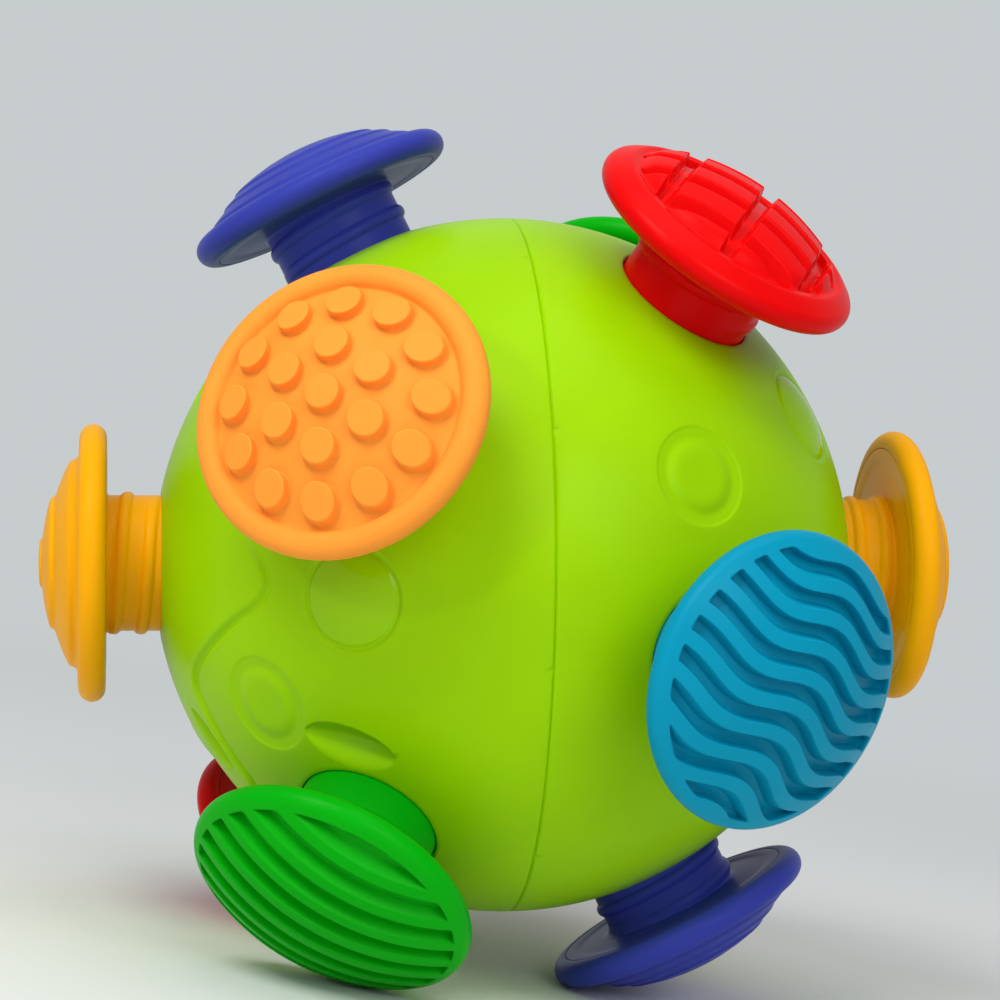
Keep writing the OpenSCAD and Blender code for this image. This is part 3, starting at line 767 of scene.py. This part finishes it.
def stem_mesh(name, k):
    """Back plate and threaded stem in one piece: a grid over the height and the angle round the axis."""
    texture, _, _, _, phase = KNOBS[name]
    rim, stem, plate = k.rim_t / 2, k.stem_d / 2, k.plate_d / 2
    bore = stem - k.stem_wall
    plate_top = -rim + k.plate_t
    under = [(plate, plate_top), (plate, -rim), (plate - 1.6, -rim), (plate - 3.0, -rim + 0.28),
             (stem + 2.5, -rim + 0.05), (stem, -rim - 0.1), (stem, -rim - 1.6)]
    under = fill_in(round_corners(under, [0.15, 0.8, 0.8, 1.4, 0.6]), 1.2)
    wall = np.arange(under[-1][1] - 0.22, k.thread_start - 1.4, -0.22)
    wall = np.stack([np.full(len(wall), stem), wall], -1)
    neck, under_plate = stem - k.neck_depth, plate_top - k.plate_t
    end = [(stem, wall[-1][1] - 1), (stem, k.neck_top + 0.5), (stem, k.neck_top), (neck, k.neck_top),
           (neck, k.neck_back), (stem, k.neck_back), (stem, k.stem_end), (bore, k.stem_end),
           (bore, under_plate), (0, under_plate)]
    profile = np.vstack([[(0, plate_top)], under, wall, end])
    pts, faces = revolve(profile, STEM_COLUMNS)
    a = np.arctan2(pts[:, 1], pts[:, 0])
    radius = np.hypot(pts[:, 0], pts[:, 1])
    on_stem = (np.abs(radius - stem) < 0.6) & (pts[:, 2] < -rim - 0.02) & (pts[:, 2] > k.thread_start - 2)
    ridge, middle = thread_ridge(pts[:, 2], a, texture, phase, 0, k)
    radius = radius + np.where(on_stem, k.thread_h * ridge * smooth((middle - k.thread_start) / 1.1), 0)
    pts[:, 0], pts[:, 1] = radius * np.cos(a), radius * np.sin(a)
    return knob_mesh(name, f"{name}_stem_skin", pts, faces)


class SENSORYBALL_OT_stems(bpy.types.Operator):
    """Builds the threaded stems with their back plates, and finishes the snap rings"""

    bl_idname = "sensoryball.stems"
    bl_label = "Threaded stems"

    def execute(self, context):
        k = context.scene.knob_sizes
        for name, (texture, *_) in KNOBS.items():
            colour = COLOUR_OF[texture]
            gloss = stem_material(context, colour)
            add_piece(f"{name}_stem_skin", stem_mesh(name, k), gloss, f"{name}_knob", f"{colour}_stem",
                      f"{name}_stem", f"{name}_plate")
            ring = frame["nodes"][f"{name}_stop"]
            ring.data.materials.clear()
            ring.data.materials.append(gloss)
        return {"FINISHED"}


def stem_material(context, colour):
    """The glossy plastic of the stems, made once for each colour."""
    name = f"{colour}_stem_plastic"
    made = bpy.data.materials.get(name)
    return made or plastic(name, getattr(context.scene.finishes, colour), 0.34, 0.35, 0.04)


# ---------------- faces


def rim_arc(k, start, count):
    """Radius and height round the rim's rounding, from an angle to the axis to the rim's back."""
    a, rim = np.linspace(start, math.pi, count), k.rim_t / 2
    return np.stack([k.face_d / 2 - rim + rim * np.sin(a), rim * np.cos(a)], -1)


class Dome:
    """The smooth form of a face: a sphere that meets the rounded rim without a crease. With the rim's circle at
    radius c and its rounding q, the sphere's radius is R = (c^2 + h^2 - q^2) / (2 (h - q))."""

    def __init__(self, k, height):
        self.rim = k.rim_t / 2
        self.circle = k.face_d / 2 - self.rim
        self.radius = (self.circle ** 2 + height ** 2 - self.rim ** 2) / (2 * (height - self.rim))
        self.low = height - self.radius
        self.lean = math.asin(self.circle / (self.radius - self.rim))
        self.arc = rim_arc(k, self.lean, 26)[1:]

    def z(self, r):
        """Height of the sphere at a distance from the axis."""
        return self.low + np.sqrt(np.maximum(self.radius ** 2 - np.asarray(r) ** 2, 0))

    def rim_line(self, start):
        """Radius and height from a start radius over the rim to the seat of the back plate."""
        end = self.circle + self.rim * math.sin(self.lean)
        r = np.linspace(start, end, 5)[1:]
        sphere = np.stack([r, self.z(r)], -1)
        return np.vstack([sphere, self.arc])


def border_r(k):
    """Radius of the circle at which the grooves end."""
    return k.face_d / 2 - k.border_w


def seat_line(k):
    """Radius and height from the foot of the rim into the seat of the back plate."""
    rim, seat = k.rim_t / 2, k.plate_d / 2 + 0.1
    return np.array([(seat + 0.16, -rim), (seat + 0.05, -rim + 0.05), (seat, -rim + 0.18), (seat, -0.5)])


def carry_round(loop, line):
    """Rings at the radii and heights of a line, each point at the angle of its point in the loop."""
    a = np.arctan2(loop[:, 1], loop[:, 0])
    return np.concatenate([np.stack([r * np.cos(a), r * np.sin(a), np.full(len(a), z)], -1) for r, z in line])


def close_under(points, faces, loop, dome, k):
    """Adds the rim below a top whose border points are loop, and closes the underside."""
    line = np.vstack([dome.rim_line(border_r(k)), seat_line(k)])
    n = len(loop)
    start = len(points)
    rings = carry_round(points[loop], line)
    first = np.stack([loop, np.roll(loop, -1), start + (np.arange(n) + 1) % n, start + np.arange(n)], -1)
    faces = faces + [first, grid_quads(len(line), n, start)]
    points = np.vstack([points, rings, [0, 0, line[-1][1]]])
    faces.append(fan(len(points) - 1, start + (len(line) - 1) * n + np.arange(n)))
    return points, faces


def groove_share(off, width, soft):
    """Share of a groove's depth at a distance from its middle: 0 on the rib, 1 on the floor, and a smooth step
    as wide as soft across its edge."""
    return smooth((width / 2 + soft / 2 - np.abs(off)) / soft)


def groove_lines(centres, width, soft, end):
    """Places across the grooves at which the grid has lines: close together at each edge of a groove."""
    near = soft * np.array([-0.62, -0.5, -0.36, -0.22, -0.08, 0.08, 0.22, 0.36, 0.5, 0.62])
    places = [-end, end]
    for c in centres:
        for edge in (c - width / 2, c + width / 2):
            places.extend(edge + near)
        places.append(c)
    places = np.unique(np.round([p for p in places if abs(p) <= end], 4))
    return fill_in(places[:, None], 0.8)[:, 0]


def grooved_face(k, centres, width, depth, bend, slope):
    """A face with grooves. Lines of the grid run along the grooves, y = s + bend(x), out to the border circle,
    where the grooves end in a wall. The height is the dome's less the depth times the share across times the
    share of the way in from the border. A strip on each side joins the last line to its points carried straight
    out to the circle."""
    dome = Dome(k, k.dome_h)
    border = border_r(k)
    s = groove_lines(centres, width, k.groove_soft, border - 0.45)
    ends = []
    for sign in (-1, 1):
        x = sign * np.sqrt(border ** 2 - s ** 2)
        for _ in range(60):
            y = s + bend(x)
            x = 0.6 * x + 0.4 * sign * np.sqrt(np.maximum(border ** 2 - y ** 2, 1e-4))
        ends.append(x)
    low, high = ends
    span = high - low
    wall = np.array([0.08, 0.18, 0.28, 0.4, 0.6, 1.0])
    steps = []
    for x in (low, high):
        tilt = np.clip(np.abs(x + (s + bend(x)) * slope(x)) / border, 0.3, 1)
        steps.append(wall / tilt[:, None] * np.minimum(1, span / 9)[:, None])
    middle = np.linspace(0, 1, 70)[1:-1]
    inner = steps[0][:, -1:] + (span[:, None] - steps[0][:, -1:] - steps[1][:, -1:]) * middle
    x = low[:, None] + np.hstack([np.zeros((len(s), 1)), steps[0], inner, span[:, None] - steps[1][:, ::-1],
                                  span[:, None]])
    y = s[:, None] + bend(x)
    r = np.hypot(x, y)
    across = np.max([groove_share(s - c, width, k.groove_soft) for c in centres], 0)
    share = across[:, None] * smooth((border - r - 0.03) / 0.35)
    z = dome.z(r)
    z = np.where(share > 0, np.maximum(z - depth * share, np.minimum(z, k.groove_low)), z)
    rows, cols = x.shape
    points = np.stack([x, y, z], -1).reshape(-1, 3)
    faces = [grid_quads(rows, cols, 0, closed=False)]
    sides = []
    for line, flip in ((np.arange(cols), True), ((rows - 1) * cols + np.arange(cols), False)):
        xy = points[line, :2]
        out = xy * (border / np.hypot(*xy.T))[:, None]
        out = np.column_stack([out, dome.z(np.hypot(*out.T))])
        new = np.concatenate([line[:1], len(points) + np.arange(cols - 2), line[-1:]])
        points = np.vstack([points, out[1:-1]])
        a, b, c, d = line[:-1], line[1:], new[1:], new[:-1]
        strip = np.concatenate([np.stack([a, b, c], -1), np.stack([a, c, d], -1)])
        strip = strip[(strip[:, 0] != strip[:, 2]) & (strip[:, 1] != strip[:, 2]) & (strip[:, 0] != strip[:, 1])]
        faces.append(strip[:, ::-1] if flip else strip)
        sides.append(new)
    left, right = np.arange(rows) * cols, np.arange(rows) * cols + cols - 1
    loop = np.concatenate([sides[0][:-1], right[:-1], sides[1][::-1][:-1], left[::-1][:-1]])
    return close_under(points, faces, loop, dome, k)


def block_face(k):
    """A face with crossing grooves. A square grid is drawn over the disc, x = u sqrt(1 - v^2 / 2) and
    y = v sqrt(1 - u^2 / 2), and each groove widens from its floor to its top."""
    dome = Dome(k, k.dome_h)
    border = border_r(k)
    field = k.face_d / 2 - k.block_border_w
    n = BLOCK_LINES
    u = np.linspace(-1, 1, n)
    uu, vv = np.meshgrid(u, u, indexing="ij")
    x = border * uu * np.sqrt(1 - vv ** 2 / 2)
    y = border * vv * np.sqrt(1 - uu ** 2 / 2)
    r = np.hypot(x, y)

    def groove(d, pitch):
        near = np.abs(d - np.round(d / pitch) * pitch)
        return smooth((k.block_top / 2 - near) / ((k.block_top - k.block_floor) / 2))

    cut = np.maximum(groove(x, k.block_step), groove(y + k.block_shift, k.block_pitch))
    cut = cut * smooth((field + 0.4 - r) / 1.3)
    cut = np.maximum(cut, 0.36 * bump_at(r - field + 0.2, 1.1))
    z = dome.z(r) - k.block_depth * cut
    points = np.stack([x, y, z], -1).reshape(-1, 3)
    i = np.arange(n)
    loop = np.concatenate([i[:-1] * n, (n - 1) * n + i[:-1], i[::-1][:-1] * n + n - 1, i[::-1][:-1]])
    return close_under(points, [grid_quads(n, n, 0, closed=False)], loop, dome, k)


def step_face(k):
    """A face with three terraces: a profile of rounded steps turned round the axis."""
    return terrace_face(k, (0.17, 0.47, 0.74), (0.4 * k.step_h, 0.75 * k.step_h, 1.05 * k.step_h), 0.9)


def ring_face(k):
    """A low dome with fine rings near its rim."""
    return terrace_face(k, (0.56, 0.68, 0.81), (k.ring_step_h,) * 3, 0.45)


def terrace_face(k, shares, drops, soft):
    """Terraces on a dome: outside each share of the face's radius the dome is lower by a drop, and every edge is
    rounded."""
    dome = Dome(k, k.dome_h)
    corners, soften, inner, fall = [(0.0, dome.z(0))], [], 0.0, 0.0
    for share, drop in zip(shares, drops):
        edge = k.face_d / 2 * share
        for r in np.linspace(inner + soft * 0.8, edge - soft * 1.3, 6):
            corners.append((r, dome.z(r) - fall))
            soften.append(0)
        corners.append((edge, dome.z(edge) - fall - 0.05 * drop))
        fall += drop
        corners.append((edge + 0.1 + 0.15 * drop, dome.z(edge) - fall))
        soften += [soft, soft * 0.8]
        inner = corners[-1][0]
    last = dome.circle - 1.2
    for r in np.linspace(inner + soft * 0.8, last, 4):
        corners.append((r, dome.z(r) - fall))
        soften.append(0)
    arc = rim_arc(k, math.radians(-28), 34)
    line = round_corners(corners + [tuple(arc[0])], soften + [0.35], 7)
    profile = np.vstack([fill_in(line, 0.8), arc[1:], seat_line(k), [(0, -0.5)]])
    return revolve(profile, FACE_COLUMNS)


def peg_face(k):
    """A recessed dome inside a rounded rim, with one peg in the middle and two circles of pegs round it."""
    field = k.face_d / 2 - k.peg_border_w
    rise = k.peg_face_h - k.peg_foot_h
    radius = (field ** 2 + rise ** 2) / (2 * rise)

    def dome(r):
        return k.peg_face_h - radius + np.sqrt(np.maximum(radius ** 2 - np.asarray(r) ** 2, 0))

    line = [(v, dome(v)) for v in np.linspace(0, field - 0.7, 24)]
    arc = rim_arc(k, math.radians(-56), 42)
    line = round_corners(line + [tuple(arc[0]), tuple(arc[3])], [0] * (len(line) - 1) + [0.45], 7)
    profile = np.vstack([line, arc[4:], seat_line(k), [(0, -0.5)]])
    pts, faces = revolve(profile, FACE_COLUMNS)
    places = [(0, 0)] + [(8.6, i * 60) for i in range(6)] + [(16.8, i * 30) for i in range(12)]
    for far, at in places:
        p, f = peg(dome, radius, far * math.cos(math.radians(at)), far * math.sin(math.radians(at)), k)
        faces += [q + len(pts) for q in f]
        pts = np.vstack([pts, p])
    return pts, faces


def peg(dome, radius, cx, cy, k):
    """One peg: a flat top with a rounded edge that leans as the dome does, z = dome(c) + h - (c . d) / (R cos),
    a slightly widening wall, and a rounded foot that lies on the dome."""
    r, q = k.peg_d / 2, k.peg_edge
    far = math.hypot(cx, cy)
    lean = -np.array([cx, cy]) / math.sqrt(radius ** 2 - far ** 2)
    t = np.radians(np.linspace(0, 90, 6))
    rows = [(v, 0.0, False) for v in (r * 0.4, r * 0.75)]
    rows += [(r - q + q * math.sin(a), -q * (1 - math.cos(a)), False) for a in t]
    rows += [(r + 0.1 + q * (1 - math.cos(a)), q * (1 - math.sin(a)), True) for a in t]
    rows += [(r + 0.15 + q, -0.05, True), (r + 0.3, -0.5, True)]
    a = np.arange(PEG_COLUMNS) * 2 * np.pi / PEG_COLUMNS
    pts = []
    for out, lift, on_dome in rows:
        d = out * np.stack([np.cos(a), np.sin(a)], -1)
        x, y = cx + d[:, 0], cy + d[:, 1]
        z = dome(np.hypot(x, y)) if on_dome else dome(far) + d @ lean + k.peg_h
        pts.append(np.stack([x, y, z + lift], -1))
    n = len(rows) * PEG_COLUMNS
    ring = np.arange(PEG_COLUMNS)
    pts = np.vstack(pts + [[[cx, cy, dome(far) + k.peg_h]], [[cx, cy, dome(far) - 0.6]]])
    return pts, [grid_quads(len(rows), PEG_COLUMNS), fan(n, ring[::-1]), fan(n + 1, n - PEG_COLUMNS + ring)]


def wave_face(k):
    """A face with wavy grooves across it: y = s + swing (cos(2 pi x / length) - 1)."""
    count = int(border_r(k) / k.wave_pitch)
    turn = 2 * np.pi / k.wave_len
    return grooved_face(k, np.arange(-count, count + 1) * k.wave_pitch, k.wave_groove, k.wave_depth,
                        lambda x: k.wave_swing * (np.cos(turn * x) - 1),
                        lambda x: -k.wave_swing * turn * np.sin(turn * x))


def stripe_face(k):
    """A face with straight grooves across it."""
    count = int(border_r(k) / k.stripe_pitch)
    return grooved_face(k, np.arange(-count, count + 1) * k.stripe_pitch, k.stripe_groove, k.stripe_depth,
                        lambda x: 0 * x, lambda x: 0 * x)


FACES = {"pegs": peg_face, "waves": wave_face, "stripes": stripe_face, "blocks": block_face, "steps": step_face,
         "rings": ring_face}
# Roughness, orange peel and light under the skin of each kind of face
FACE_FINISH = {"pegs": (0.50, 0.8, 0.18), "waves": (0.36, 0.5, 0.04), "stripes": (0.34, 0.5, 0.04),
               "blocks": (0.34, 0.5, 0.04), "steps": (0.42, 0.6, 0.06), "rings": (0.36, 0.6, 0.04)}


class SENSORYBALL_OT_faces(bpy.types.Operator):
    """Builds the twelve textured faces"""

    bl_idname = "sensoryball.faces"
    bl_label = "Textured faces"

    def execute(self, context):
        k = context.scene.knob_sizes
        materials = {}
        for texture, finish in FACE_FINISH.items():
            colour = COLOUR_OF[texture]
            shade = getattr(context.scene.finishes, colour)
            materials[texture] = plastic(f"{colour}_face_plastic", shade, *finish)
        for name, (texture, *_) in KNOBS.items():
            mesh = knob_mesh(name, f"{name}_face_skin", *FACES[texture](k))
            add_piece(f"{name}_face_skin", mesh, materials[texture], f"{name}_knob",
                      f"{COLOUR_OF[texture]}_face", f"{name}_face")
        return {"FINISHED"}


# ---------------- stage


def floor_material(pale, back):
    """A pale floor that takes shadows near the object and melts into the backdrop's colour further away."""
    material = bpy.data.materials.new("floor_paper")
    material.use_nodes = True
    net = Net(material.node_tree)
    where = net.node("TexCoord", output=3)
    away = net.node("VectorMath", {"operation": "LENGTH"}, {0: where}, 1)
    paper = net.node("BsdfPrincipled", {}, {"Base Color": pale, "Roughness": 0.75})
    glow = net.node("Emission", {}, {"Color": back, "Strength": 1.0})
    mixed = net.node("MixShader", {}, {0: away.ramp(0.16, 0.75), 1: paper, 2: glow})
    net.node("OutputMaterial", {}, {"Surface": mixed})
    return material


def world_light(strength, back):
    """An even pale world that shows the backdrop's colour to the camera and in reflections."""
    world = bpy.data.worlds.new("studio")
    world.use_nodes = True
    bpy.context.scene.world = world
    net = Net(world.node_tree)
    ray = net.tree.nodes.new("ShaderNodeLightPath")
    seen = Val(net, ray.outputs["Is Camera Ray"]) + Val(net, ray.outputs["Is Glossy Ray"])
    seen = seen + Val(net, ray.outputs["Is Transmission Ray"])
    light = net.node("Background", {}, {"Color": (0.93, 0.97, 1.0, 1), "Strength": strength})
    shown = net.node("Background", {}, {"Color": back, "Strength": 1.0})
    mixed = net.node("MixShader", {}, {0: seen.ramp(0.0, 0.5), 1: light, 2: shown})
    net.node("OutputWorld", {}, {"Surface": mixed})


def area_light(name, place, target, size, power, colour):
    """A soft square lamp at a place that faces a target."""
    data = bpy.data.lights.new(name, "AREA")
    data.shape, data.size, data.size_y = "RECTANGLE", size[0], size[1]
    data.energy, data.color = power, colour
    lamp = bpy.data.objects.new(name, data)
    bpy.context.scene.collection.objects.link(lamp)
    lamp.location = place
    lamp.rotation_euler = (Vector(target) - Vector(place)).to_track_quat("-Z", "Y").to_euler()


class SENSORYBALL_OT_stage(bpy.types.Operator):
    """Builds the floor, the lights and the camera"""

    bl_idname = "sensoryball.stage"
    bl_label = "Stage"

    def execute(self, context):
        scene = context.scene
        t = scene.stage_sizes
        back = (0.570, 0.605, 0.615, 1)
        pts = np.array([(-4000, -4000, 0), (4000, -4000, 0), (4000, 4000, 0), (-4000, 4000, 0)], float)
        floor = bpy.data.objects.new("floor", make_mesh("floor", pts, [np.array([[0, 1, 2, 3]])]))
        floor.data.materials.append(floor_material((0.82, 0.83, 0.825, 1), back))
        scene.collection.objects.link(floor)
        world_light(0.29, back)
        middle = Vector(CENTRE * MM)
        area_light("window", (-0.52, -0.72, 1.00), middle, (0.60, 0.50), 8.6, (1.0, 1.0, 0.98))
        area_light("ceiling", (0.10, -0.25, 1.25), middle, (0.8, 0.8), 3.4, (0.97, 0.99, 1.0))
        area_light("front_fill", (0.45, -1.10, 0.65), middle, (0.7, 0.6), 5.2, (1.0, 0.99, 0.97))
        area_light("small_window", (-0.64, -0.91, 0.45), middle, (0.07, 0.055), 1.0, (1.0, 1.0, 1.0))
        camera = bpy.data.objects.new("camera", bpy.data.cameras.new("camera"))
        scene.collection.objects.link(camera)
        camera.data.lens, camera.data.sensor_width = t.lens, 36.0
        camera.data.clip_start, camera.data.clip_end = 0.01, 50
        a = math.radians(t.roll)
        right, up = Vector((math.cos(a), 0, math.sin(a))), Vector((-math.sin(a), 0, math.cos(a)))
        turn = Matrix((right, up, Vector((0, -1, 0)))).transposed().to_4x4()
        place = Vector((t.camera_x, -t.distance, CENTRE[2] + t.camera_up)) * MM
        camera.matrix_world = Matrix.Translation(place) @ turn
        scene.camera = camera
        scene.view_settings.view_transform = "Standard"
        return {"FINISHED"}


class SENSORYBALL_PT_panel(bpy.types.Panel):
    """Lists the operators and sizes of the sensory ball"""

    bl_idname = "SENSORYBALL_PT_panel"
    bl_label = "Sensory ball"
    bl_space_type = "VIEW_3D"
    bl_region_type = "UI"
    bl_category = "Sensory ball"

    def draw(self, context):
        for operator in OPERATORS:
            self.layout.operator(operator.bl_idname)
        for group in ("ball_sizes", "knob_sizes", "finishes", "stage_sizes"):
            box = self.layout.box()
            settings = getattr(context.scene, group)
            for name in settings.__annotations__:
                box.prop(settings, name)


GROUPS = {"ball_sizes": BallSizes, "knob_sizes": KnobSizes, "finishes": Finishes, "stage_sizes": StageSizes}
OPERATORS = (SENSORYBALL_OT_stage, SENSORYBALL_OT_halves, SENSORYBALL_OT_stems, SENSORYBALL_OT_faces)


def register():
    """Registers the classes and puts the settings on the scene."""
    for cls in (*GROUPS.values(), *OPERATORS, SENSORYBALL_PT_panel):
        bpy.utils.register_class(cls)
    for name, group in GROUPS.items():
        setattr(bpy.types.Scene, name, PointerProperty(type=group))


def unregister():
    """Removes the settings and the classes."""
    for name in GROUPS:
        delattr(bpy.types.Scene, name)
    for cls in reversed((*GROUPS.values(), *OPERATORS, SENSORYBALL_PT_panel)):
        bpy.utils.unregister_class(cls)


def main():
    """Builds everything."""
    register()
    bpy.ops.sensoryball.stage()
    bpy.ops.sensoryball.halves()
    bpy.ops.sensoryball.stems()
    bpy.ops.sensoryball.faces()


if __name__ == "__main__":
    main()
